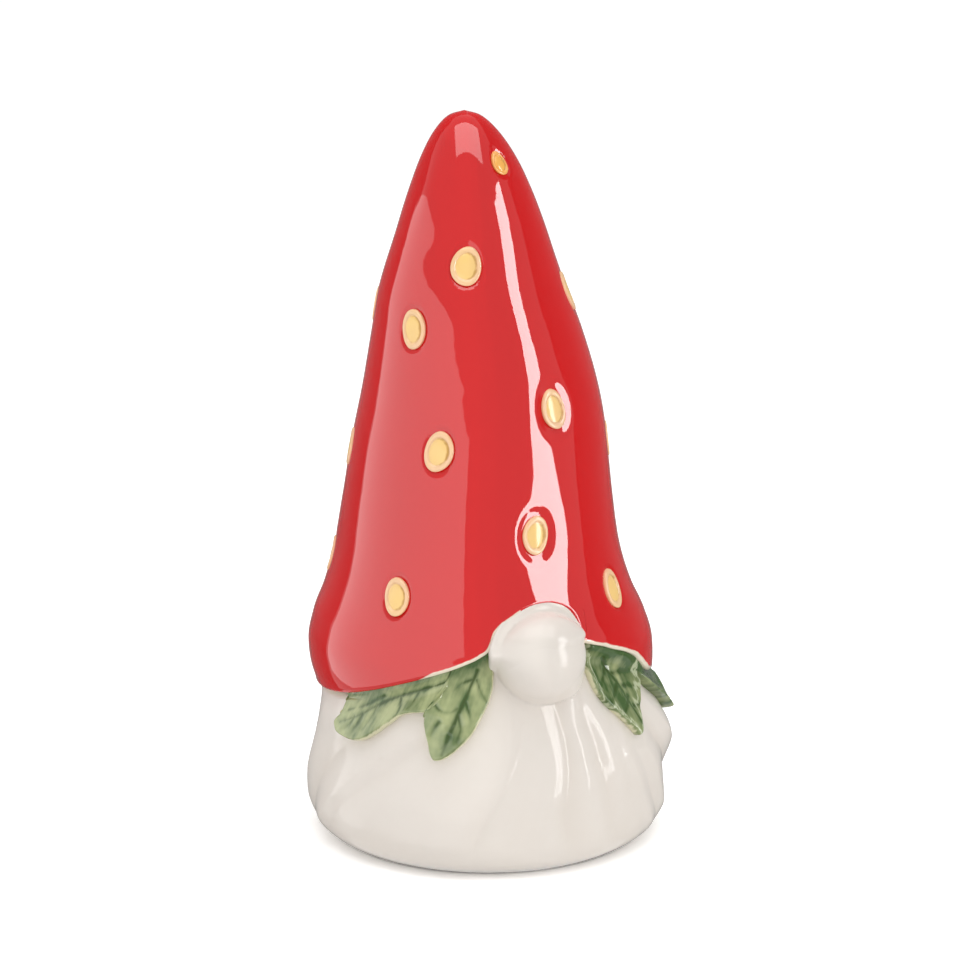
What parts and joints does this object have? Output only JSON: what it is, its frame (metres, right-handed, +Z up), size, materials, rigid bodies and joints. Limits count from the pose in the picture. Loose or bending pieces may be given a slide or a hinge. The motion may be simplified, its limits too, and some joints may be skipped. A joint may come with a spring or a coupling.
{
  "type": "garden gnome ornament",
  "caption": "Glazed ceramic gnome with a tall hat shaped like a strawberry, a ball nose and a fluted beard, standing on a flat ring foot.",
  "frame": {"origin": "on the ground, under the middle of the ornament's overall box", "axes": "+Z up from the foot to the tip of the hat, -Y the way the nose faces, +X the gnome's own left"},
  "size_m": [0.1018, 0.103, 0.1985],
  "materials": {
    "strawberry_red_glaze": "gloss",
    "cream_white_glaze": "gloss",
    "leaf_green_glaze": "gloss",
    "seed_yellow_glaze": "gloss"
  },
  "bodies": {
    "root": {"hat": "strawberry_red_glaze", "beard_body": "cream_white_glaze", "nose": "cream_white_glaze", "leaf_front_right": "leaf_green_glaze", "leaf_front_left": "leaf_green_glaze", "leaf_side_right": "leaf_green_glaze", "leaf_side_left": "leaf_green_glaze", "leaf_back_right": "leaf_green_glaze", "leaf_back_left": "leaf_green_glaze", "leaf_back": "leaf_green_glaze", "seed_01": "seed_yellow_glaze", "seed_02": "seed_yellow_glaze", "seed_03": "seed_yellow_glaze", "seed_04": "seed_yellow_glaze", "seed_05": "seed_yellow_glaze", "seed_06": "seed_yellow_glaze", "seed_07": "seed_yellow_glaze", "seed_08": "seed_yellow_glaze", "seed_09": "seed_yellow_glaze", "seed_10": "seed_yellow_glaze", "seed_11": "seed_yellow_glaze", "seed_12": "seed_yellow_glaze", "seed_13": "seed_yellow_glaze", "seed_14": "seed_yellow_glaze", "seed_15": "seed_yellow_glaze", "seed_16": "seed_yellow_glaze", "seed_17": "seed_yellow_glaze", "seed_18": "seed_yellow_glaze", "seed_19": "seed_yellow_glaze"}
  },
  "joints": []
}
